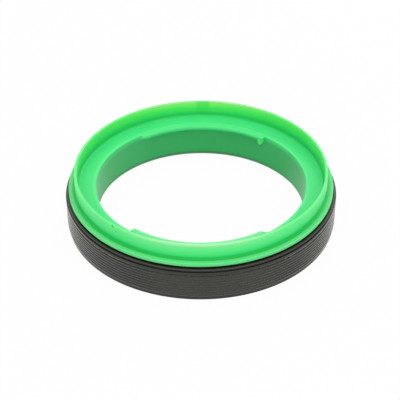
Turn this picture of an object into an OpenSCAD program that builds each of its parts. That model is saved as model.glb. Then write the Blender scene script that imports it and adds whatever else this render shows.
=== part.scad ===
// Rotary oil seal for the flange of a crankshaft, held ready on its plastic mounting sleeve.
// The base plane is the oil side, +Z is the axis and points to the air side, where the sleeve's rim is.
// Every ring is a cross-section in [radius, height], turned about the axis.

/* [Fit sizes] */
// Diameter of the crankshaft flange that the lip seals on
shaft_d = 100; // [60:1:180]
// Radial width of the seal's section, from that flange to the housing bore
section_w = 15; // [13.5:0.1:17]
// Height from the base to the outer top edge of the rubber cover
ring_h = 16.7; // [15.8:0.1:20]

/* [Rubber cover] */
// Rubber outside the steel case, measured to the rib crests
skin_side = 1.7; // [1.4:0.05:2.2]
// Rubber above the steel case, measured to the outer top edge
skin_top = 1.5; // [1.2:0.05:2]
// Rubber below the steel case
skin_foot = 0.8; // [0.5:0.05:1.2]
// Height that the rubber turns up inside the case at its foot
foot_turn = 0.8; // [0.4:0.05:1.4]
// Thickness of that turned-up edge
foot_turn_t = 0.5; // [0.3:0.05:0.8]
// Radial step from the rib crests in to the base edge
base_inset = 0.65; // [0.5:0.05:1]
// Height of the bevel above the base edge
base_bevel_h = 1.2; // [0.8:0.05:1.5]
// Distance from one fine rib to the next
rib_pitch = 1.45; // [1.2:0.05:1.8]
// Depth of the grooves between the ribs
rib_depth = 0.42; // [0.2:0.02:0.6]
// Width of the flat crest of a fine rib
rib_flat = 0.5; // [0.3:0.05:0.7]
// Width of the flat floor between two fine ribs
groove_flat = 0.25; // [0.1:0.05:0.4]
// Least plain height between the base bevel and the lowest rib
plain_h = 0.1; // [0.05:0.05:0.6]
// Width of the flat crest of the main sealing band
band_flat = 0.8; // [0.5:0.05:1.2]
// Depth of the centre of the main band below the outer top edge
band_drop = 2.1; // [1.9:0.05:2.6]
// Distance from the main band to the first fine rib below it
band_gap = 1.8; // [1.7:0.05:2.2]
// Radial step from the rib crests in to the neck above the main band
neck_inset = 1.1; // [0.8:0.05:1.2]
// Height of the sloped sides of that neck
neck_lean = 0.25; // [0.1:0.05:0.35]
// Radial step from the rib crests in to the raised lip around the outer top edge
edge_inset = 0.55; // [0.3:0.05:0.7]
// Height of that lip's outer face and bevel
edge_h = 0.5; // [0.4:0.05:0.6]
// Width of that lip
edge_w = 0.85; // [0.6:0.05:1.2]
// Bevel on that lip's outer edge
edge_bevel = 0.2; // [0.1:0.05:0.4]
// Depth of the moat inside that lip
moat_depth = 0.6; // [0.3:0.05:0.9]
// Width of the moat
moat_w = 1.6; // [1.2:0.05:2]
// Radial lean of the moat's sides
moat_lean = 0.2; // [0.1:0.05:0.4]
// Height of the pad that carries the sleeve above the outer top edge
pad_rise = 1; // [0.6:0.05:1.4]
// Radial width of that pad
pad_w = 3.4; // [2.4:0.05:4]

/* [Steel rings] */
// Sheet thickness of the case
case_t = 1.2; // [0.8:0.05:1.4]
// Outer bend radius of the case
case_bend = 1.8; // [1.5:0.05:2.4]
// Radial gap from the sleeve to the inner edge of the case
case_gap = 3.8; // [3.5:0.05:4.5]
// Sheet thickness of the clamp ring
clamp_t = 1; // [0.8:0.05:1.2]
// Outer bend radius of the clamp ring
clamp_bend = 1.4; // [1.3:0.05:2]
// Height of the clamp ring's wall
clamp_h = 9.6; // [7:0.1:10]

/* [Lip and washers] */
// Thickness of the lip and of its clamped washer
lip_t = 0.9; // [0.7:0.05:1.1]
// Bend radius of the lip on its middle line
lip_bend = 2.4; // [2:0.05:2.8]
// Length of lip that lies along the sleeve
lip_run = 5.6; // [3:0.1:6.5]
// Bevel at the free end of the lip
lip_bevel = 0.4; // [0.2:0.05:0.6]
// Thickness of the gasket above the lip's washer
gasket_t = 0.5; // [0.3:0.05:0.6]
// Radial width of the gasket
gasket_w = 4.6; // [3:0.1:5]
// Radial gap from the case wall to the washer and gasket
washer_gap = 0.8; // [0.6:0.05:1.2]
// Thickness of the felt dust ring
felt_t = 1.3; // [0.8:0.05:1.6]
// Radial gap between the felt and the rubber pad
felt_gap = 0.2; // [0.1:0.05:0.5]

/* [Mounting sleeve] */
// Radial clearance of the sleeve on the crankshaft flange
sleeve_clear = 0.1; // [0.05:0.01:0.25]
// Wall of the skirt that goes through the lip
skirt_t = 1.8; // [1.4:0.05:2]
// Height of the skirt's end above the base
skirt_lift = 1; // [0.4:0.1:2]
// Height of the lead-in bevel inside the skirt's end
lead_h = 1.6; // [1:0.1:2.4]
// Radial depth of that bevel
lead_depth = 1.1; // [0.6:0.05:1.2]
// Radial opening of the bore from the underside of the tabs up to its rounded edge
mouth_draft = 0.45; // [0.05:0.05:0.7]
// Rounding outside the skirt's end
skirt_round = 0.4; // [0.2:0.05:0.5]
// Rounding between the skirt and the underside of the deck
deck_fillet = 0.8; // [0.4:0.05:1]
// Thickness of the deck
deck_t = 1.65; // [1.3:0.05:2]
// Radial width of the rounded edge around the bore
edge_run = 0.4; // [0.2:0.05:1]
// Height of that rounded edge
edge_drop = 0.1; // [0.05:0.01:0.3]
// Radial step from the rib crests in to the flange's edge
flange_inset = 1.6; // [1.4:0.05:2.3]
// Thickness of the flange
flange_t = 1.9; // [1.5:0.05:2.2]
// Rounding of the flange's edges
flange_round = 0.3; // [0.1:0.05:0.4]
// Radial step from the rib crests in to the rim's outer face at its top
rim_inset = 4.55; // [3.8:0.05:4.7]
// Thickness of the rim at its top
rim_t = 1.3; // [1:0.05:1.6]
// Height of the rim above the seat
rim_h = 10; // [7:0.1:12]
// Rounding of the rim's top edges
rim_round = 0.4; // [0.2:0.05:0.45]
// Outward spread of the rim's outer face from top to foot
draft_out = 0.05; // [0:0.05:0.5]
// Inward spread of the rim's inner face from top to foot
draft_in = 0.1; // [0:0.05:0.3]
// Concave rounding inside the foot of the rim
foot_fillet_in = 1.2; // [0.6:0.1:2]
// Concave rounding outside the foot of the rim
foot_fillet_out = 0.8; // [0.4:0.1:1.2]

/* [Stop tabs] */
// Number of tabs that stop the sleeve on the end of the crankshaft
tab_count = 2; // [2:1:3]
// Angle that one tab covers at its root
tab_angle = 78; // [40:1:90]
// Angle over which the gentle end of a tab slopes in
tab_slope = 4; // [3:0.5:10]
// Turn of the first tab's middle from the +Y axis
tab_turn = -1; // [-10:0.5:10]
// Reach of a tab into the bore
tab_reach = 2.6; // [1.5:0.1:3.5]
// Thickness of a tab
tab_t = 1.4; // [1:0.1:2]
// Depth of a tab's top face below the deck
tab_drop = 0.15; // [0.1:0.05:0.6]

/* [Hidden] */
$fn = 96;
quarter_steps = 6;

// Radii, worked inwards from the housing bore
crest_r = shaft_d / 2 + section_w;
groove_r = crest_r - rib_depth;
neck_r = crest_r - neck_inset;
edge_r = crest_r - edge_inset;
base_r = crest_r - base_inset;
case_r = crest_r - skin_side;
case_in_r = case_r - case_t;
washer_r = case_in_r - washer_gap;
moat_out_r = edge_r - edge_w;
moat_in_r = moat_out_r - moat_w;
pad_in_r = moat_in_r - pad_w;
flange_r = crest_r - flange_inset;
rim_out_r = crest_r - rim_inset;
rim_in_r = rim_out_r - rim_t;
rim_foot_out_r = rim_out_r + draft_out;
rim_foot_in_r = rim_in_r - draft_in;

// Radii, worked outwards from the crankshaft
bore_r = shaft_d / 2 + sleeve_clear;
skirt_r = bore_r + skirt_t;
lip_out_r = skirt_r + lip_t;
lip_centre_r = skirt_r + lip_t / 2 + lip_bend;
case_hole_r = skirt_r + case_gap;

// Heights, worked down from the outer top edge of the cover
case_top = ring_h - skin_top;
case_under = case_top - case_t;
washer_top = case_under - gasket_t;
washer_under = washer_top - lip_t;
lip_centre_z = washer_top - lip_t / 2 - lip_bend;
band_z = ring_h - band_drop;
first_rib_z = band_z - band_gap;
rib_foot = rib_pitch - groove_flat;
lowest_rib_z = base_bevel_h + plain_h + rib_foot / 2;
rib_count = floor((first_rib_z - lowest_rib_z) / rib_pitch) + 1;

// Heights, worked up from the seat of the sleeve on the cover
seat_z = ring_h + pad_rise;
flange_top = seat_z + flange_t;
deck_top = seat_z + deck_t;
rim_top = seat_z + rim_h;
tab_top = deck_top - tab_drop;
tab_under = tab_top - tab_t;

// Points of a round stretch about c, from angle a to angle b, with one radius for each direction
function arc(c, rx, rz, a, b) =
    [for (i = [0:quarter_steps])
        let (t = a + (b - a) * i / quarter_steps)
        [c[0] + rx * cos(t), c[1] + rz * sin(t)]];

// Points up one side of a rib or band centred at height z
function ridge(z, foot, flat, root_r) =
    [[root_r, z - foot / 2], [crest_r, z - flat / 2], [crest_r, z + flat / 2], [root_r, z + foot / 2]];

// Outer face of a bent steel ring: up its wall, round the bend and in to its hole
function bent_outside(wall_r, foot_z, top_z, bend, hole_r) =
    concat([[wall_r, foot_z]],
           arc([wall_r - bend, top_z - bend], bend, bend, 0, 90),
           [[hole_r, top_z]]);

// Whole section of a bent steel ring of sheet thickness t
function bent_ring(wall_r, foot_z, top_z, bend, hole_r, t) =
    concat(bent_outside(wall_r, foot_z, top_z, bend, hole_r),
           [[hole_r, top_z - t]],
           arc([wall_r - bend, top_z - bend], bend - t, bend - t, 90, 0),
           [[wall_r - t, foot_z]]);

// A cross-section turned about the axis
module ring(section) {
    rotate_extrude() polygon(section);
}

// Skirt, deck, rim and flange of the sleeve in one section
sleeve_section = concat(
    [[bore_r + lead_depth, skirt_lift], [bore_r, skirt_lift + lead_h], [bore_r, tab_under]],
    arc([bore_r + mouth_draft + edge_run, deck_top - edge_drop], edge_run, edge_drop, 180, 90),
    arc([rim_foot_in_r - foot_fillet_in, deck_top + foot_fillet_in],
        foot_fillet_in, foot_fillet_in, 270, 360),
    arc([rim_in_r + rim_round, rim_top - rim_round], rim_round, rim_round, 180, 90),
    arc([rim_out_r - rim_round, rim_top - rim_round], rim_round, rim_round, 90, 0),
    arc([rim_foot_out_r + foot_fillet_out, flange_top + foot_fillet_out],
        foot_fillet_out, foot_fillet_out, 180, 270),
    arc([flange_r - flange_round, flange_top - flange_round], flange_round, flange_round, 90, 0),
    arc([flange_r - flange_round, seat_z + flange_round], flange_round, flange_round, 0, -90),
    arc([skirt_r + deck_fillet, seat_z - deck_fillet], deck_fillet, deck_fillet, 90, 180),
    arc([skirt_r - skirt_round, skirt_lift + skirt_round], skirt_round, skirt_round, 0, -90));

// One stop tab: square at its first end, and sloped in at its last end
module tab() {
    root_r = bore_r + skirt_t / 2;
    start = 90 + tab_turn - tab_angle / 2;
    end = start + tab_angle;
    slope_start = end - tab_slope;
    function at(r, a) = [r * cos(a), r * sin(a)];
    sector = concat(
        [at(bore_r - 2 * tab_reach, start)],
        [for (i = [0:quarter_steps]) at(2 * bore_r, start + (end - start) * i / quarter_steps)],
        [at(bore_r, end), at(bore_r - tab_reach, slope_start), at(bore_r - 2 * tab_reach, slope_start)]);
    translate([0, 0, tab_under]) linear_extrude(tab_t) intersection() {
        difference() {
            circle(root_r);
            circle(bore_r - tab_reach);
        }
        polygon(sector);
    }
}

module assembly_sleeve() {
    color("#4de780") union() {
        ring(sleeve_section);
        for (i = [0:tab_count - 1]) rotate(i * 360 / tab_count) tab();
    }
}

// Outside of the cover from the base up to the neck, over every rib and the main band
cover_outside = concat(
    [[base_r, 0], [groove_r, base_bevel_h]],
    [for (i = [rib_count - 1:-1:0]) each ridge(first_rib_z - i * rib_pitch, rib_foot, rib_flat, groove_r)],
    [[groove_r, band_z - band_gap / 2], [crest_r, band_z - band_flat / 2],
     [crest_r, band_z + band_flat / 2], [neck_r, band_z + band_flat / 2 + neck_lean],
     [neck_r, ring_h - edge_h - neck_lean], [edge_r, ring_h - edge_h]]);

// Top of the cover: outer lip, moat and the pad under the sleeve
cover_top = [
    [edge_r, ring_h - edge_bevel], [edge_r - edge_bevel, ring_h], [moat_out_r, ring_h],
    [moat_out_r - moat_lean, ring_h - moat_depth], [moat_in_r + moat_lean, ring_h - moat_depth],
    [moat_in_r, seat_z], [pad_in_r, seat_z]];

// Inside of the cover: it lies against the case and turns up inside the case's foot
cover_inside = [
    [case_in_r, skin_foot], [case_in_r, skin_foot + foot_turn],
    [case_in_r - foot_turn_t, skin_foot + foot_turn - foot_turn_t],
    [case_in_r - foot_turn_t, foot_turn_t], [case_in_r, 0]];

module rubber_cover() {
    case_side = bent_outside(case_r, skin_foot, case_top, case_bend, pad_in_r);
    color("#383836") ring(concat(
        cover_outside,
        cover_top,
        [for (i = [len(case_side) - 1:-1:0]) case_side[i]],
        cover_inside));
}

module steel_case() {
    color("#9a9c9e") ring(bent_ring(case_r, skin_foot, case_top, case_bend, case_hole_r, case_t));
}

module clamp_ring() {
    hole_r = lip_centre_r + lip_t / 2;
    color("#b4b6b8") ring(bent_ring(case_in_r, washer_under - clamp_h, washer_under, clamp_bend, hole_r, clamp_t));
}

// Flat washer between the steel rings, bent down to lie along the sleeve towards the oil side
module sealing_lip() {
    lip_end = lip_centre_z - lip_run;
    centre = [lip_centre_r, lip_centre_z];
    outer = lip_bend + lip_t / 2;
    inner = lip_bend - lip_t / 2;
    color("#5a4a40") ring(concat(
        [[washer_r, washer_under], [washer_r, washer_top]],
        arc(centre, outer, outer, 90, 180),
        [[skirt_r, lip_end + lip_bevel], [skirt_r + lip_bevel, lip_end], [lip_out_r, lip_end]],
        arc(centre, inner, inner, 180, 90)));
}

module lip_gasket() {
    color("#2c2c2c") ring([
        [washer_r - gasket_w, washer_top], [washer_r, washer_top],
        [washer_r, case_under], [washer_r - gasket_w, case_under]]);
}

module dust_felt() {
    color("#6d6f6a") ring([
        [skirt_r, case_top], [pad_in_r - felt_gap, case_top],
        [pad_in_r - felt_gap, case_top + felt_t], [skirt_r, case_top + felt_t]]);
}

assembly_sleeve();
rubber_cover();
steel_case();
clamp_ring();
sealing_lip();
lip_gasket();
dust_felt();
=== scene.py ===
"""Looks of a crankshaft oil seal held on its green mounting sleeve.

Every piece is a ring: a section of (radius, height) points carried round the axis. Sections are in
millimetres, as on a drawing, and become metres when a mesh is made.
"""
import math

import bpy
import numpy as np
from mathutils import Matrix, Vector


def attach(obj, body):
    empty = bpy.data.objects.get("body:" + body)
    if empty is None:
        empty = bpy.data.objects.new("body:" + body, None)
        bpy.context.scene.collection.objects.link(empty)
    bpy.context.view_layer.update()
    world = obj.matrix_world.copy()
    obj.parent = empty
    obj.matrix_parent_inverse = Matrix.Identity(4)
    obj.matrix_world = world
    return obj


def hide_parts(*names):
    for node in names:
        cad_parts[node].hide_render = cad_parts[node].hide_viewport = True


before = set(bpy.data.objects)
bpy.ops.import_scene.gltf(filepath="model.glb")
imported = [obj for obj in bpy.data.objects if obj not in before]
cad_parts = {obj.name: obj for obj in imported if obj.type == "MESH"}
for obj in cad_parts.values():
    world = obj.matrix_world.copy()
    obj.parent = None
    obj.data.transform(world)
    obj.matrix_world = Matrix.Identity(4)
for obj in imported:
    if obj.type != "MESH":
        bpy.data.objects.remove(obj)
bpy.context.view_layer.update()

MM = 0.001

# Sheet thicknesses and bends of the steel rings and the lip
CASE_T = 1.2
CASE_BEND = 1.8
CLAMP_T = 1.0
CLAMP_BEND = 1.4
LIP_T = 0.9
LIP_BEND = 2.85

# Radii of the ring, worked inwards from the rib crests
CREST_R = 65.0
GROOVE_R = CREST_R - 0.32
NECK_R = CREST_R - 0.9
EDGE_R = CREST_R - 0.55
BASE_R = CREST_R - 0.4
CASE_R = CREST_R - 1.7
CASE_IN_R = CASE_R - CASE_T
WASHER_R = CASE_IN_R - 0.8
GASKET_IN_R = WASHER_R - 4.6
MOAT_OUT_R = EDGE_R - 1.05
MOAT_IN_R = MOAT_OUT_R - 1.6
PAD_IN_R = MOAT_IN_R - 3.4
FELT_R = PAD_IN_R - 0.2
TURN_UP_R = CASE_IN_R - 0.5
FLANGE_R = CREST_R - 1.6
RIM_OUT_R = CREST_R - 4.55
RIM_IN_R = RIM_OUT_R - 1.3
RIM_DRAFT_OUT = 0.05
RIM_DRAFT_IN = 0.1

# Radii worked outwards from the crankshaft
BORE_R = 50.1
SKIRT_R = BORE_R + 1.8
LIP_OUT_R = SKIRT_R + LIP_T
CLAMP_HOLE_R = SKIRT_R + LIP_BEND + 0.45
CASE_HOLE_R = SKIRT_R + 3.8

# Heights of the ring
RING_H = 16.7
CASE_TOP = RING_H - 1.5
CASE_UNDER = CASE_TOP - CASE_T
WASHER_TOP = CASE_UNDER - 0.5
WASHER_UNDER = WASHER_TOP - LIP_T
CLAMP_FOOT = WASHER_UNDER - 9.6
LIP_END = WASHER_TOP - LIP_BEND - 5.6
FELT_TOP = CASE_TOP + 1.3
SKIN_FOOT = 0.8
BAND_Z = RING_H - 2.1
BAND_FLAT = 0.8
BAND_TOP = BAND_Z + 0.8
MOAT_FLOOR = RING_H - 0.6
MOAT_DRAFT = 0.2

# Fine ribs below the main band
RIB_PITCH = 1.45
RIB_COUNT = 8
TOP_RIB_Z = BAND_Z - 1.8
LOW_RIB_Z = TOP_RIB_Z - (RIB_COUNT - 1) * RIB_PITCH

# Heights of the sleeve
SEAT_Z = RING_H + 1.0
FLANGE_TOP = SEAT_Z + 1.9
DECK_TOP = SEAT_Z + 1.65
RIM_TOP = SEAT_Z + 10.0
SKIRT_END = 1.0
LEAD_IN_DEPTH = 1.1
LEAD_IN_H = 1.6

# Stop tabs of the sleeve, with angles in degrees anticlockwise from +X
TAB_TOP = DECK_TOP - 0.15
TAB_T = 1.4
TAB_REACH = 2.6
TAB_STARTS = (50.0, 230.0)
TAB_ANGLE = 78.0
TAB_SLOPE = 4.0
TAB_STEP = 0.35
WITNESS = 0.02
MOUTH_DRAFT = 0.45
EDGE_DROP = 0.1
FOOT_DROP = 2.4
FOOT_HALF = 1.5
FOOT_MIDDLE = 1.4
# Height of the painted light on each tab's foot
FOOT_LIGHT_Z = TAB_TOP - TAB_T - 0.7

# Mesh resolution
TURNS = 560
ARC_STEPS = 5
GUARD = 0.15


def rounded(corners, steps=ARC_STEPS):
    """Points of a closed section whose corners are (radius, height, rounding), for one or many azimuths.

    Each corner becomes the circular arc that touches both of its sides: its centre lies on the
    corner's bisector, at rounding / sin(half the angle). Each straight keeps a point near either
    end, so that it shades flat. Returns an array of (..., corners, points, 2).
    """
    corners = np.asarray(corners, float)
    here = corners[..., :2]
    size = corners[..., 2:]

    def unit(vector):
        return vector / np.linalg.norm(vector, axis=-1, keepdims=True)

    back = unit(np.roll(here, 1, axis=-2) - here)
    onward = unit(np.roll(here, -1, axis=-2) - here)
    bisector = unit(back + onward)
    cos_half = np.sum(back * bisector, axis=-1, keepdims=True)
    sin_half = np.sqrt(1 - cos_half**2)
    tangent = size * cos_half / sin_half
    centre = here + bisector * size / sin_half
    first = here + back * tangent - centre
    last = here + onward * tangent - centre
    turn = np.arctan2(
        first[..., 0] * last[..., 1] - first[..., 1] * last[..., 0], np.sum(first * last, axis=-1)
    )
    part = turn[..., None] * np.linspace(0, 1, steps + 1)
    cos_part, sin_part = np.cos(part)[..., None], np.sin(part)[..., None]
    across = np.stack([-first[..., 1], first[..., 0]], axis=-1)
    bend = centre[..., None, :] + first[..., None, :] * cos_part + across[..., None, :] * sin_part

    gap = np.roll(bend[..., 0, :], -1, axis=-2) - bend[..., -1, :]
    straight = np.linalg.norm(gap, axis=-1, keepdims=True)
    guard = np.minimum(GUARD, straight / 4)
    before = bend[..., 0, :] + back * np.roll(guard, 1, axis=-2)
    after = bend[..., -1, :] + onward * guard
    return np.concatenate([before[..., None, :], bend, after[..., None, :]], axis=-2)


def flat_loop(points):
    """Joins the points of all corners of a section into one loop, for one or many azimuths."""
    return points.reshape(*points.shape[:-3], -1, 2)


def turned(name, section, azimuths, material, node):
    """A ring: the point at azimuth a and place s of its section lies at (r cos a, r sin a, z).

    section is (places, 2), or (azimuths, places, 2) where it changes round the ring. Each four
    neighbours are one face, and both directions close on themselves.
    """
    section = np.broadcast_to(section, (len(azimuths), *section.shape[-2:]))
    r, z = section[..., 0], section[..., 1]
    area = np.mean(np.sum(r * np.roll(z, -1, axis=1) - np.roll(r, -1, axis=1) * z, axis=1))
    if area < 0:
        r, z = r[:, ::-1], z[:, ::-1]
    a = np.radians(azimuths)[:, None]
    points = np.stack([r * np.cos(a), r * np.sin(a), z], axis=-1).reshape(-1, 3) * MM
    rows, places = r.shape
    index = np.arange(rows * places).reshape(rows, places)
    next_row = np.roll(index, -1, axis=0)
    faces = np.stack(
        [index, next_row, np.roll(next_row, -1, axis=1), np.roll(index, -1, axis=1)], axis=-1
    ).reshape(-1, 4)

    mesh = bpy.data.meshes.new(name)
    mesh.vertices.add(len(points))
    mesh.vertices.foreach_set("co", points.ravel())
    mesh.loops.add(faces.size)
    mesh.loops.foreach_set("vertex_index", faces.ravel())
    mesh.polygons.add(len(faces))
    mesh.polygons.foreach_set("loop_start", np.arange(0, faces.size, 4))
    mesh.polygons.foreach_set("use_smooth", np.ones(len(faces), bool))
    mesh.update(calc_edges=True)
    mesh.materials.append(material)
    piece = bpy.data.objects.new(name, mesh)
    bpy.context.scene.collection.objects.link(piece)
    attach(piece, "root")
    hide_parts(node)
    return piece


def round_the_ring(count=TURNS):
    """Even azimuths in degrees."""
    return np.arange(count) * 360 / count


def smooth(x):
    """0 below 0, 1 above 1, and an S-curve between."""
    x = np.clip(x, 0, 1)
    return x * x * (3 - 2 * x)


def ripple(azimuths, seed, size, waves=(2, 3, 5, 8, 13)):
    """A slow unevenness round the ring: cosines of whole numbers of waves, with seeded phases."""
    phases = np.random.default_rng(seed).uniform(0, 360, len(waves))
    each = [np.cos(np.radians(n * azimuths + p)) / (i + 1) for i, (n, p) in enumerate(zip(waves, phases))]
    return size * np.sum(each, axis=0)


# Colours and shader nodes


def colour(hex_code):
    """An sRGB hex colour as the linear RGBA that shaders take."""
    srgb = np.array([int(hex_code[i : i + 2], 16) for i in (1, 3, 5)]) / 255
    linear = np.where(srgb <= 0.04045, srgb / 12.92, ((srgb + 0.055) / 1.055) ** 2.4)
    return (*linear.tolist(), 1.0)


def add(tree, kind, inputs=None, **settings):
    """Adds a shader node. inputs maps a socket to a value, or to the (node, output) that feeds it."""
    made = tree.nodes.new(kind)
    for key, value in settings.items():
        setattr(made, key, value)
    for socket, value in (inputs or {}).items():
        if isinstance(value, tuple) and isinstance(value[0], bpy.types.Node):
            tree.links.new(value[0].outputs[value[1]], made.inputs[socket])
        else:
            made.inputs[socket].default_value = value
    return made


def new_material(name):
    """An empty node material and its tree."""
    material = bpy.data.materials.new(name)
    material.use_nodes = True
    material.node_tree.nodes.clear()
    return material, material.node_tree


def finish_material(tree, shader, output=0):
    """Joins a shader to the material's surface."""
    add(tree, "ShaderNodeOutputMaterial", {"Surface": (shader, output)})


def grain(tree, size_mm, detail=2.0, roughness=0.5, distortion=0.0):
    """Noise over the object whose features are about size_mm across."""
    place = add(tree, "ShaderNodeTexCoord")
    return add(
        tree,
        "ShaderNodeTexNoise",
        {
            "Vector": (place, "Object"),
            "Scale": 1 / (size_mm * MM),
            "Detail": detail,
            "Roughness": roughness,
            "Distortion": distortion,
        },
    )


def ramp(tree, factor, stops):
    """A colour ramp from (position, hex colour) stops."""
    made = add(tree, "ShaderNodeValToRGB", {"Fac": factor})
    band = made.color_ramp
    while len(band.elements) < len(stops):
        band.elements.new(0.5)
    for element, (position, code) in zip(band.elements, stops):
        element.position = position
        element.color = colour(code)
    return made


def place_on_ring(tree):
    """X, Y, radius and height of the shaded point, in metres, as (node, output) pairs."""
    place = add(tree, "ShaderNodeTexCoord")
    parts = add(tree, "ShaderNodeSeparateXYZ", {"Vector": (place, "Object")})
    flat = add(tree, "ShaderNodeCombineXYZ", {"X": (parts, "X"), "Y": (parts, "Y")})
    radius = add(tree, "ShaderNodeVectorMath", {0: (flat, "Vector")}, operation="LENGTH")
    return (parts, "X"), (parts, "Y"), (radius, "Value"), (parts, "Z")


def share_of(tree, value, zero, one, curve="SMOOTHSTEP"):
    """How far value, in metres, has come from zero to one, both in millimetres."""
    limits = {"Value": value, "From Min": zero * MM, "From Max": one * MM}
    return add(tree, "ShaderNodeMapRange", limits, interpolation_type=curve), "Result"


def maths(tree, operation, first, second):
    """One sum on two values."""
    return add(tree, "ShaderNodeMath", {0: first, 1: second}, operation=operation), "Value"


def times(tree, first, *others):
    """Product of shares."""
    for other in others:
        first = maths(tree, "MULTIPLY", first, other)
    return first


def mix(tree, share, first, second):
    """Colour between two others."""
    inputs = {"Factor": share, "A": first, "B": second}
    return add(tree, "ShaderNodeMix", inputs, data_type="RGBA"), "Result"


def near_point(tree, r, z, azimuth, far, near):
    """1 within near millimetres of a point at (r, z, azimuth), 0 beyond far."""
    a = math.radians(azimuth)
    place = add(tree, "ShaderNodeTexCoord")
    middle = (r * math.cos(a) * MM, r * math.sin(a) * MM, z * MM)
    away = add(tree, "ShaderNodeVectorMath", {0: (place, "Object"), 1: middle}, operation="DISTANCE")
    return share_of(tree, (away, "Value"), far, near)


def bumps(tree, height, depth_mm, strength):
    """Normal of a fine relief."""
    relief = {"Height": height, "Distance": depth_mm * MM, "Strength": strength}
    return add(tree, "ShaderNodeBump", relief), "Normal"


def round_lines(tree, pitch_mm):
    """Noise that changes with radius and height alone, so that each line runs round the ring."""
    _, _, radius, height = place_on_ring(tree)
    place = add(tree, "ShaderNodeCombineXYZ", {"X": radius, "Y": height})
    lines = {"Vector": (place, "Vector"), "Scale": 1 / (pitch_mm * MM), "Detail": 2.0, "Roughness": 0.7}
    return add(tree, "ShaderNodeTexNoise", lines, noise_dimensions="2D"), "Fac"


# Painted light and shade of the rim, from its painted dark foot to its painted lit top, and the painted
# glow on its top where it faces front and back
RIM_INSIDE_LIGHT_AND_SHADE = (
    (0.07, "#20c961"),
    (0.15, "#2acf68"),
    (0.33, "#45e06e"),
    (0.55, "#5ae96e"),
    (0.75, "#72ee73"),
    (0.95, "#87e884"),
)
RIM_OUTSIDE_LIGHT_AND_SHADE = (
    (0.02, "#0abf50"),
    (0.11, "#22c961"),
    (0.2, "#42db7a"),
    (0.33, "#54e284"),
    (0.5, "#61e68a"),
    (0.7, "#6cea8e"),
    (0.95, "#78e697"),
)
GLOW_INSIDE = "#a4ea8a"
GLOW_OUTSIDE = "#8ae59e"

# Limits in millimetres, each from none to all: the painted light's fade at the sides and the painted
# glow on the top in distance from the middle, the painted light on the crest in y, and the patch of
# painted shade at the back in x from either side
GLOW_SIDE_FADE = (6, 54)
GLOW_SIDE_LOSS = 0.33
GLOW_SPAN = (46, 4)
GLOW_DEPTH = 3.2
CREST_LIGHT_Y = (-46, -62)
SHADED_PATCH_LEFT = (-3.2, -1.2)
SHADED_PATCH_RIGHT = (5.6, 3.4)
SHADED_PATCH_STRENGTH = 0.2

# Dark specks in the moulding: radius, height, azimuth and half width, in millimetres and degrees
SPECKS = ((60.4, 27.3, 228.8, 0.5), (60.47, 26.8, 229.3, 0.5), (60.47, 24.9, 230.8, 0.4))


def rim_tone(tree):
    """Painted light and shade of the thin rim, standing in for light that comes through it: yellower
    inside, whiter outside, painted darker towards its foot.

    A painted glow lights the top at the front and the back, and painted light makes its crest pale at
    the front. A patch of painted shade at the back darkens the rim and stops that glow. All of it is
    fixed to the object.
    """
    x, y, radius, height = place_on_ring(tree)
    up = share_of(tree, height, FLANGE_TOP, RIM_TOP, "LINEAR")
    across = share_of(tree, radius, RIM_IN_R, RIM_IN_R + 0.4)
    # Painted light: the rim's lit tone fades towards the sides
    beside = maths(tree, "ABSOLUTE", x, 0.0)
    less = maths(tree, "MULTIPLY", share_of(tree, beside, *GLOW_SIDE_FADE), GLOW_SIDE_LOSS)
    up = times(tree, up, maths(tree, "SUBTRACT", 1.0, less))
    # Painted shade at the rim's foot and painted light at its top
    inside = ramp(tree, up, RIM_INSIDE_LIGHT_AND_SHADE)
    outside = ramp(tree, up, RIM_OUTSIDE_LIGHT_AND_SHADE)
    rim = mix(tree, across, (inside, "Color"), (outside, "Color"))
    # Painted glow on the top of the rim, where light comes through
    clear = mix(tree, across, colour(GLOW_INSIDE), colour(GLOW_OUTSIDE))
    # A patch of painted shade at the back of the rim
    shaded_patch = times(
        tree, share_of(tree, x, *SHADED_PATCH_LEFT), share_of(tree, x, *SHADED_PATCH_RIGHT), share_of(tree, y, -1, 1)
    )
    # Where the painted glow lies: the rim's top at front and back, but not on the patch of painted shade
    thin = times(
        tree,
        share_of(tree, beside, *GLOW_SPAN),
        share_of(tree, height, RIM_TOP - GLOW_DEPTH, RIM_TOP),
        maths(tree, "SUBTRACT", 1.0, shaded_patch),
    )
    rim = mix(tree, thin, rim, clear)
    # Painted light: a pale crest at the front of the rim
    crest = times(
        tree, share_of(tree, height, RIM_TOP - 1.6, RIM_TOP - 0.3), share_of(tree, y, *CREST_LIGHT_Y)
    )
    rim = mix(tree, crest, rim, colour("#a2e8ae"))
    # Painted shade: the patch at the back is darker
    return mix(tree, maths(tree, "MULTIPLY", shaded_patch, SHADED_PATCH_STRENGTH), rim, colour("#1fc552"))


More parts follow.
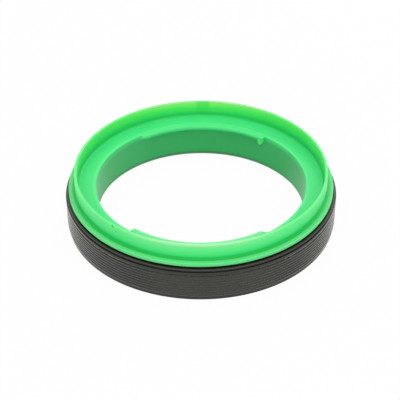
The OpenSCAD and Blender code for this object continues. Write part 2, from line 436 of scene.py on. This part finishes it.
def sleeve_tone(tree):
    """Deck, rim, flange, tabs and bore.

    A pale line of painted highlight follows the bore's mouth. The wall gets painted light near it and
    looks deeper below, partly from dark rubber behind and partly painted shade, and painted shade
    darkens the skirt towards its lower end. The tabs' noses have painted shade at the back and painted
    light at the front, and their feet painted light.
    """
    _, y, radius, height = place_on_ring(tree)
    cloud = grain(tree, 14.0, 3.0)
    deck = ramp(tree, (cloud, "Fac"), [(0.3, "#4be58a"), (0.7, "#4fe98e")])
    at_rim = share_of(tree, radius, RIM_IN_R - 1.3, RIM_IN_R - 0.1)
    tone = mix(tree, at_rim, (deck, "Color"), rim_tone(tree))
    tone = mix(tree, share_of(tree, radius, RIM_OUT_R + 0.4, RIM_OUT_R + 1.7), tone, colour("#68de8b"))
    # Painted highlight: a pale line along the bore's mouth
    edge = times(
        tree,
        share_of(tree, radius, BORE_R + 2.3, BORE_R + 1.5),
        share_of(tree, radius, BORE_R - 1.8, BORE_R - 0.4),
        share_of(tree, height, DECK_TOP - 1.0, DECK_TOP - 0.3),
    )
    tone = mix(tree, edge, tone, colour("#5beb90"))
    # Painted shade on the tabs' noses, everywhere but at the front
    back_nose_shade = times(
        tree, share_of(tree, radius, BORE_R - 1.2, BORE_R - 3.3), share_of(tree, y, -46, -25)
    )
    tone = mix(tree, back_nose_shade, tone, colour("#3bc979"))
    # Painted light on the tabs' noses at the front
    front_nose_light = times(
        tree, share_of(tree, radius, BORE_R + 0.1, BORE_R - 3.5), share_of(tree, y, -25, -46)
    )
    tone = mix(tree, front_nose_light, tone, colour("#b2efc2"))
    # Painted light: each tab's foot is lighter where light comes through it
    for start in TAB_STARTS:
        near = near_point(tree, BORE_R - TAB_REACH, FOOT_LIGHT_Z, start + FOOT_MIDDLE, 1.9, 1.3)
        tone = mix(tree, near, tone, colour("#60e88c"))
    # The bore wall looks deeper green: partly real, with dark rubber behind it, and partly painted shade in
    # the bore; painted light makes it lighter near the mouth, where it faces up
    down = times(
        tree,
        share_of(tree, height, DECK_TOP - 0.05, DECK_TOP - 0.3),
        share_of(tree, radius, BORE_R - 0.5, BORE_R - 0.1),
        share_of(tree, radius, BORE_R + 0.9, BORE_R + 0.5),
    )
    near_mouth = share_of(tree, height, DECK_TOP - 3.0, DECK_TOP, "LINEAR")
    wall = mix(tree, near_mouth, colour("#42b86f"), colour("#53da86"))
    tone = mix(tree, down, tone, wall)
    # Painted shade: the skirt is darker towards its lower end, near the floor
    tone = mix(tree, share_of(tree, height, SKIRT_END + 3.0, SKIRT_END + 1.2), tone, colour("#2b8a4b"))
    for r, z, azimuth, half in SPECKS:
        tone = mix(tree, near_point(tree, r, z, azimuth, half, half / 3), tone, colour("#1f9a48"))
    return tone


def sleeve_plastic():
    """Polypropylene, injection moulded: waxy satin skin, and thin walls that let light through."""
    material, tree = new_material("polypropylene, injection moulded green")
    skin = grain(tree, 0.35, 3.0, 0.6)
    shader = add(
        tree,
        "ShaderNodeBsdfPrincipled",
        {
            "Base Color": sleeve_tone(tree),
            "Roughness": 0.4,
            "IOR": 1.49,
            "Specular IOR Level": 0.3,
            "Subsurface Weight": 1.0,
            "Subsurface Radius": (1.0, 0.8, 0.4),
            "Subsurface Scale": MM,
            "Normal": bumps(tree, (skin, "Fac"), 0.02, 0.15),
        },
    )
    finish_material(tree, shader)
    return material


def cover_rubber():
    """Fluoroelastomer, compression moulded: near black, with a faint pale bloom all over.

    The ribs have a soft sheen, and the top and the base edge are matt. Painted shade darkens the base
    edge and the moat under the flange, and a painted highlight with a painted reflection of the green
    flange makes the edge lip lighter.
    """
    material, tree = new_material("fluoroelastomer, compression moulded black")
    _, _, radius, height = place_on_ring(tree)
    cloud = grain(tree, 9.0, 4.0)
    tone = ramp(tree, (cloud, "Fac"), [(0.3, "#131311"), (0.7, "#1a1a17")])
    # Painted shade: darker at the base edge and in the moat under the flange
    base_shade = share_of(tree, height, 2.2, 1.5)
    moat_shade = share_of(tree, radius, EDGE_R - 0.9, EDGE_R - 1.1)
    deep = maths(tree, "MAXIMUM", base_shade, moat_shade)
    tone = mix(tree, deep, (tone, "Color"), colour("#0d0d0c"))
    # Painted highlight and painted reflection of the green flange: the edge lip is lighter and greener
    lip = times(
        tree,
        share_of(tree, height, RING_H - 0.55, RING_H - 0.35),
        share_of(tree, radius, EDGE_R - 0.9, EDGE_R - 0.7),
    )
    tone = mix(tree, lip, tone, colour("#353930"))
    matt = maths(
        tree, "MAXIMUM", share_of(tree, height, BAND_TOP, BAND_TOP + 0.3), share_of(tree, height, 2.3, 1.7)
    )
    roughness = add(tree, "ShaderNodeMapRange", {"Value": matt, "To Min": 0.12, "To Max": 0.45})
    skin = grain(tree, 0.25, 4.0, 0.6)
    shader = add(
        tree,
        "ShaderNodeBsdfPrincipled",
        {
            "Base Color": tone,
            "Roughness": (roughness, "Result"),
            "IOR": 1.52,
            "Specular Tint": colour("#fffff6"),
            "Sheen Weight": 0.9,
            "Sheen Roughness": 0.28,
            "Sheen Tint": colour("#fffff0"),
            "Normal": bumps(tree, (skin, "Fac"), 0.02, 0.06),
        },
    )
    finish_material(tree, shader)
    return material


def case_steel():
    """Sheet steel, deep drawn and zinc phosphated: a grey crystalline coat, nearly matt.

    The crystals are a few hundredths of a millimetre, and are drawn coarser so that they show.
    """
    material, tree = new_material("sheet steel, deep drawn and zinc phosphated")
    crystals = grain(tree, 0.3, 5.0, 0.75)
    tone = ramp(tree, (crystals, "Fac"), [(0.32, "#5f6264"), (0.5, "#777a7c"), (0.68, "#939698")])
    cloud = grain(tree, 6.0, 3.0)
    roughness = add(tree, "ShaderNodeMapRange", {"Value": (cloud, "Fac"), "To Min": 0.45, "To Max": 0.7})
    shader = add(
        tree,
        "ShaderNodeBsdfPrincipled",
        {
            "Base Color": (tone, "Color"),
            "Metallic": 0.8,
            "Roughness": (roughness, "Result"),
            "Normal": bumps(tree, (crystals, "Fac"), 0.02, 0.4),
        },
    )
    finish_material(tree, shader)
    return material


def clamp_steel():
    """Cold rolled sheet steel, pressed and left bright: fine scuffs from the die run round it."""
    material, tree = new_material("sheet steel, cold rolled and pressed bright")
    lines = round_lines(tree, 0.25)
    tone = ramp(tree, lines, [(0.3, "#a3a6a8"), (0.7, "#bfc2c4")])
    roughness = add(tree, "ShaderNodeMapRange", {"Value": lines, "To Min": 0.22, "To Max": 0.42})
    shader = add(
        tree,
        "ShaderNodeBsdfPrincipled",
        {
            "Base Color": (tone, "Color"),
            "Metallic": 1.0,
            "Roughness": (roughness, "Result"),
            "Normal": bumps(tree, lines, 0.01, 0.3),
        },
    )
    finish_material(tree, shader)
    return material


def lip_polymer():
    """Filled fluoropolymer, skived from a bar: dark brown and waxy, with fine tool lines round it."""
    material, tree = new_material("fluoropolymer with filler, skived")
    lines = round_lines(tree, 0.2)
    filler = grain(tree, 0.5, 4.0, 0.7)
    tone = ramp(tree, (filler, "Fac"), [(0.3, "#3f2f26"), (0.55, "#4d3a2e"), (0.75, "#5e4838")])
    shader = add(
        tree,
        "ShaderNodeBsdfPrincipled",
        {
            "Base Color": (tone, "Color"),
            "Roughness": 0.38,
            "IOR": 1.38,
            "Normal": bumps(tree, lines, 0.02, 0.5),
        },
    )
    finish_material(tree, shader)
    return material


def gasket_rubber():
    """Nitrile sheet, die cut: black and matt, with a fine grain from the calender rolls."""
    material, tree = new_material("nitrile sheet, calendered and die cut")
    skin = grain(tree, 0.2, 3.0, 0.6)
    tone = ramp(tree, (skin, "Fac"), [(0.3, "#262626"), (0.7, "#303030")])
    shader = add(
        tree,
        "ShaderNodeBsdfPrincipled",
        {
            "Base Color": (tone, "Color"),
            "Roughness": 0.75,
            "IOR": 1.52,
            "Normal": bumps(tree, (skin, "Fac"), 0.02, 0.5),
        },
    )
    finish_material(tree, shader)
    return material


def dust_felt_wool():
    """Wool felt, pressed: grey mottled fibres with no shine and a faint fuzz at grazing angles."""
    material, tree = new_material("wool felt, pressed grey")
    fibres = grain(tree, 0.4, 5.0, 0.8, distortion=2.5)
    tone = ramp(tree, (fibres, "Fac"), [(0.3, "#5b5d58"), (0.5, "#6e706a"), (0.7, "#85877f")])
    shader = add(
        tree,
        "ShaderNodeBsdfPrincipled",
        {
            "Base Color": (tone, "Color"),
            "Roughness": 0.95,
            "IOR": 1.5,
            "Sheen Weight": 0.4,
            "Sheen Roughness": 0.5,
            "Normal": bumps(tree, (fibres, "Fac"), 0.1, 0.8),
        },
    )
    finish_material(tree, shader)
    return material


def sleeve_azimuths():
    """Even azimuths, with close ones added where a tab steps in and where its foot hangs."""
    step = [start + np.linspace(-0.05, TAB_STEP + 0.05, 7) for start in TAB_STARTS]
    across_foot = FOOT_HALF * 1.02 * np.sin(np.radians(np.linspace(-90, 90, 15)))
    foot = [start + FOOT_MIDDLE + across_foot for start in TAB_STARTS]
    return np.unique(np.round(np.concatenate([round_the_ring(), *step, *foot]) % 360, 4))


def sleeve_section(azimuths):
    """Corners of the sleeve's section round the ring.

    A tab is the bore wall moved inwards: its reach rises in a short step at one end and falls in a
    slope at the other. Its foot is a half ellipse that lowers its underside.
    """
    reach = np.zeros_like(azimuths)
    drop = np.zeros_like(azimuths)
    for start in TAB_STARTS:
        along = (azimuths - start) % 360
        along = np.where(along > 350, along - 360, along)
        reach += smooth(along / TAB_STEP) * smooth((TAB_ANGLE - along) / TAB_SLOPE)
        drop += np.sqrt(np.clip(1 - ((along - FOOT_MIDDLE) / FOOT_HALF) ** 2, 0, None))
    share = np.maximum(reach, WITNESS / TAB_REACH)
    nose_r = BORE_R - TAB_REACH * share + ripple(azimuths, 3, 0.04) * share
    under = TAB_TOP - TAB_T - FOOT_DROP * drop
    edge_r = nose_r + (BORE_R + MOUTH_DRAFT - nose_r) * (1 - share)
    edge_z = DECK_TOP - EDGE_DROP + (TAB_TOP - DECK_TOP + EDGE_DROP) * share + ripple(azimuths, 8, 0.02)
    root_z = DECK_TOP - (DECK_TOP - TAB_TOP - 0.02) * share
    same = np.ones_like(azimuths)
    corners = [
        (BORE_R + LEAD_IN_DEPTH, SKIRT_END, 0.15),
        (BORE_R, SKIRT_END + LEAD_IN_H, 0.5),
        (BORE_R, under - 0.25 * share, 0.1 * share),
        (nose_r, under, (0.3 + 0.5 * drop) * share),
        (edge_r, edge_z, 0.12 + 0.28 * share),
        (BORE_R + 0.95, root_z, 1.0 - 0.8 * share),
        (BORE_R + 2.2, DECK_TOP, 0.5),
        (RIM_IN_R - RIM_DRAFT_IN, DECK_TOP, 1.2),
        (RIM_IN_R, RIM_TOP, 0.45),
        (RIM_OUT_R, RIM_TOP, 0.5),
        (RIM_OUT_R + RIM_DRAFT_OUT, FLANGE_TOP, 0.8),
        (FLANGE_R, FLANGE_TOP, 0.3),
        (FLANGE_R, SEAT_Z, 0.25),
        (SKIRT_R, SEAT_Z, 0.8),
        (SKIRT_R, SKIRT_END, 0.4),
    ]
    return np.stack([np.stack([r * same, z * same, f * same], axis=-1) for r, z, f in corners], axis=1)


def make_sleeve():
    """The green moulding: skirt, deck, rim, flange, tabs and feet in one surface."""
    azimuths = sleeve_azimuths()
    section = flat_loop(rounded(sleeve_section(azimuths)))
    return turned("sleeve_moulding", section, azimuths, sleeve_plastic(), "assembly_sleeve")


def rib_wave(steps=8):
    """Ribs from the lowest groove to the top one: flattened cosines with wide crests."""
    half = RIB_PITCH / 2
    z = np.linspace(LOW_RIB_Z - half, TOP_RIB_Z + half, RIB_COUNT * steps + 1)
    phase = 2 * np.pi * (z - LOW_RIB_Z) / RIB_PITCH
    r = CREST_R - (CREST_R - GROOVE_R) * (0.5 - 0.5 * np.cos(phase)) ** 4
    return np.stack([r, z], axis=-1)


def make_cover():
    """The black rubber: base edge, ribs, main band, neck, edge lip, moat, pad and turned-up foot."""
    below = [(CASE_IN_R, 0, 0.1), (BASE_R, 0, 0.08), (GROOVE_R, 1.2, 0.4)]
    above = [
        (GROOVE_R, BAND_Z - 0.9, 0.2),
        (CREST_R, BAND_Z - BAND_FLAT / 2, 0.15),
        (CREST_R, BAND_TOP, 0.15),
        (NECK_R, BAND_TOP + 0.15, 0.15),
        (NECK_R, RING_H - 0.55, 0.15),
        (EDGE_R, RING_H - 0.4, 0.12),
        (EDGE_R, RING_H, 0.2),
        (MOAT_OUT_R, RING_H, 0.15),
        (MOAT_OUT_R - MOAT_DRAFT, MOAT_FLOOR, 0.15),
        (MOAT_IN_R + MOAT_DRAFT, MOAT_FLOOR, 0.15),
        (MOAT_IN_R, SEAT_Z, 0.15),
        (PAD_IN_R, SEAT_Z, 0.2),
        (PAD_IN_R, CASE_TOP, 0.02),
        (CASE_R, CASE_TOP, CASE_BEND),
        (CASE_R, SKIN_FOOT, 0.02),
        (CASE_IN_R, SKIN_FOOT, 0.02),
        (CASE_IN_R, SKIN_FOOT + 0.8, 0.02),
        (TURN_UP_R, SKIN_FOOT + 0.3, 0.15),
        (TURN_UP_R, 0.5, 0.15),
    ]
    bends = rounded([*below, *above], steps=3)
    section = np.concatenate([flat_loop(bends[: len(below)]), rib_wave(), flat_loop(bends[len(below) :])])
    azimuths = round_the_ring(480)
    return turned("rubber_cover_skin", section, azimuths, cover_rubber(), "rubber_cover")


def bent_section(wall_r, foot_z, top_z, bend, hole_r, sheet):
    """Corners of a ring pressed from sheet into an L: a wall, a bend and a flat."""
    return [
        (wall_r, foot_z, 0.1),
        (wall_r, top_z, bend),
        (hole_r, top_z, 0.1),
        (hole_r, top_z - sheet, 0.25),
        (wall_r - sheet, top_z - sheet, bend - sheet),
        (wall_r - sheet, foot_z, 0.25),
    ]


def make_inner_rings():
    """Steel rings, lip, gasket and felt, which show only from below."""
    turns = round_the_ring(360)
    case = bent_section(CASE_R, SKIN_FOOT, CASE_TOP, CASE_BEND, CASE_HOLE_R, CASE_T)
    clamp = bent_section(CASE_IN_R, CLAMP_FOOT, WASHER_UNDER, CLAMP_BEND, CLAMP_HOLE_R, CLAMP_T)
    lip_corners = [
        (WASHER_R, WASHER_UNDER, 0.1),
        (WASHER_R, WASHER_TOP, 0.1),
        (SKIRT_R, WASHER_TOP, LIP_BEND),
        (SKIRT_R, LIP_END, 0.4),
        (LIP_OUT_R, LIP_END, 0.1),
        (LIP_OUT_R, WASHER_UNDER, LIP_BEND - LIP_T),
    ]
    gasket = [
        (GASKET_IN_R, WASHER_TOP, 0.05),
        (WASHER_R, WASHER_TOP, 0.05),
        (WASHER_R, CASE_UNDER, 0.05),
        (GASKET_IN_R, CASE_UNDER, 0.05),
    ]
    felt_corners = [
        (SKIRT_R, CASE_TOP, 0.1),
        (FELT_R, CASE_TOP, 0.1),
        (FELT_R, FELT_TOP, 0.3),
        (SKIRT_R, FELT_TOP, 0.3),
    ]
    for name, corners, material, slot, node in (
        ("pressed_case", case, case_steel(), "case_steel", "steel_case"),
        ("pressed_clamp", clamp, clamp_steel(), "clamp_steel", "clamp_ring"),
        ("curled_lip", lip_corners, lip_polymer(), "lip_polymer", "sealing_lip"),
        ("cut_gasket", gasket, gasket_rubber(), "gasket_rubber", "lip_gasket"),
        ("felt_ring", felt_corners, dust_felt_wool(), "grey_felt", "dust_felt"),
    ):
        turned(name, flat_loop(rounded(corners)), turns, material, node)


# Camera, solved from the circles of the ring in the photograph

CAMERA_DISTANCE = 0.6032
CAMERA_ELEVATION = math.radians(36.73)
CAMERA_ROLL = math.radians(-0.31)
FOCAL_PIXELS = 1230.57
PICTURE_PIXELS = 400
SENSOR_MM = 36.0
CENTRE_SHIFT = (1.15, 13.3)


def make_camera():
    """A camera that looks at the centre of the base, with the frame shifted as in the photograph."""
    data = bpy.data.cameras.new("camera")
    data.sensor_width = SENSOR_MM
    data.lens = FOCAL_PIXELS / PICTURE_PIXELS * SENSOR_MM
    data.shift_x = -CENTRE_SHIFT[0] / PICTURE_PIXELS
    data.shift_y = CENTRE_SHIFT[1] / PICTURE_PIXELS
    data.clip_start = 0.05
    camera = bpy.data.objects.new("camera", data)
    bpy.context.scene.collection.objects.link(camera)
    towards = Vector((0, -math.cos(CAMERA_ELEVATION), math.sin(CAMERA_ELEVATION)))
    camera.location = towards * CAMERA_DISTANCE
    level = (-towards).to_track_quat("-Z", "Y").to_matrix().to_4x4()
    camera.matrix_world = Matrix.Translation(camera.location) @ level @ Matrix.Rotation(CAMERA_ROLL, 4, "Z")
    bpy.context.scene.camera = camera


def make_light(name, place, size, power):
    """A soft square lamp that faces the ring."""
    data = bpy.data.lights.new(name, "AREA")
    data.size = size
    data.energy = power
    lamp = bpy.data.objects.new(name, data)
    bpy.context.scene.collection.objects.link(lamp)
    lamp.location = place
    lamp.rotation_euler = (Vector((0, 0, 0.01)) - Vector(place)).to_track_quat("-Z", "Y").to_euler()
    lamp.visible_camera = False


def seen_or_mirrored(tree):
    """1 for rays that the camera, a reflection or clear stuff sends, 0 for the light on surfaces."""
    path = add(tree, "ShaderNodeLightPath")
    first = maths(tree, "MAXIMUM", (path, "Is Camera Ray"), (path, "Is Glossy Ray"))
    return maths(tree, "MAXIMUM", first, (path, "Is Transmission Ray"))


# Strengths of the white world and of the floor's shadow, and name, place, size and power of each lamp
WORLD_LIGHT = 0.87
FLOOR_SHADE = 0.04
FLOOR_HALF = 3.0
LAMPS = (
    ("front", (0.12, -0.8, 0.8), 2.2, 7.6),
    ("side", (0.5, 0.65, 0.25), 0.4, 0.8),
    ("back", (0.06, 0.75, 0.6), 0.2, 0.25),
)


def make_studio():
    """White world, a white floor that keeps a faint shadow, and soft lamps."""
    world = bpy.data.worlds.new("studio")
    bpy.context.scene.world = world
    world.use_nodes = True
    tree = world.node_tree
    tree.nodes.clear()
    seen = seen_or_mirrored(tree)
    strength = add(tree, "ShaderNodeMapRange", {"Value": seen, "To Min": WORLD_LIGHT, "To Max": 1.0})
    sky = add(tree, "ShaderNodeBackground", {"Color": (1, 1, 1, 1), "Strength": (strength, "Result")})
    add(tree, "ShaderNodeOutputWorld", {"Surface": (sky, "Background")})

    material, tree = new_material("white paper floor")
    paper = add(tree, "ShaderNodeBsdfDiffuse", {"Color": (0.8, 0.8, 0.8, 1)})
    glow = add(tree, "ShaderNodeEmission", {"Color": (1, 1, 1, 1), "Strength": 1.0})
    share = maths(tree, "MULTIPLY", seen_or_mirrored(tree), 1 - FLOOR_SHADE)
    parts = {"Fac": share, 1: (paper, "BSDF"), 2: (glow, "Emission")}
    finish_material(tree, add(tree, "ShaderNodeMixShader", parts))
    mesh = bpy.data.meshes.new("floor")
    corners = [(x * FLOOR_HALF, y * FLOOR_HALF, 0) for x, y in ((-1, -1), (1, -1), (1, 1), (-1, 1))]
    mesh.from_pydata(corners, [], [(0, 1, 2, 3)])
    mesh.materials.append(material)
    floor = bpy.data.objects.new("floor", mesh)
    bpy.context.scene.collection.objects.link(floor)

    for name, place, size, power in LAMPS:
        make_light(name, place, size, power)


make_camera()
make_studio()
make_sleeve()
make_cover()
make_inner_rings()

bpy.context.scene.view_settings.view_transform = "Standard"
